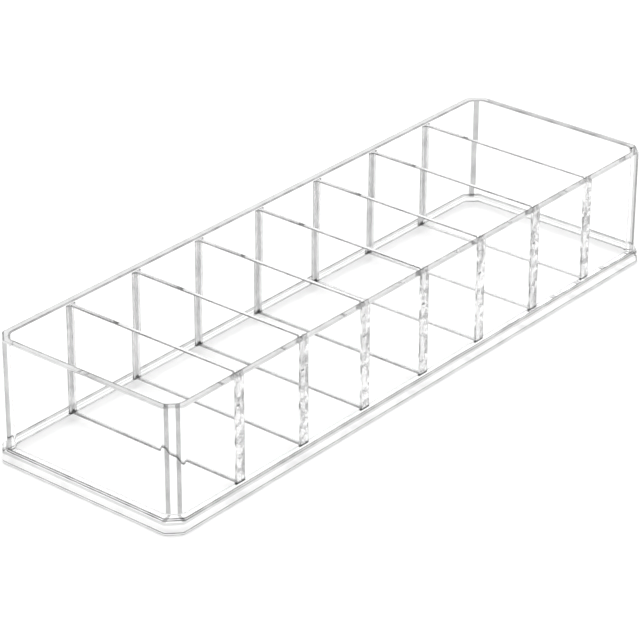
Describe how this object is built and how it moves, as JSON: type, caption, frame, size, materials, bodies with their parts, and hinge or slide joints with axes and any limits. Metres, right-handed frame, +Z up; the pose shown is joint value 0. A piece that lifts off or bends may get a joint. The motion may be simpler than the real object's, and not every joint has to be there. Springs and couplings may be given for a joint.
{
  "type": "vanity organizer",
  "caption": "Low clear tray with cut corners on a base plate, split by upright dividers into equal open slots for compacts and palettes.",
  "frame": {"origin": "centre of the base plate's underside, on the surface the organizer stands on", "axes": "+X along the tray, +Y across it towards the back, +Z up out of the open slots; -Y is the front"},
  "size_m": [0.303, 0.093, 0.0523],
  "materials": {
    "base_clear": "polished clear acrylic",
    "wall_clear": "polished clear acrylic",
    "divider_clear": "polished clear acrylic"
  },
  "bodies": {
    "root": {"base_plate": "base_clear", "wall_surround": "wall_clear", "divider_1": "divider_clear", "divider_2": "divider_clear", "divider_3": "divider_clear", "divider_4": "divider_clear", "divider_5": "divider_clear", "divider_6": "divider_clear", "divider_7": "divider_clear"}
  },
  "joints": []
}
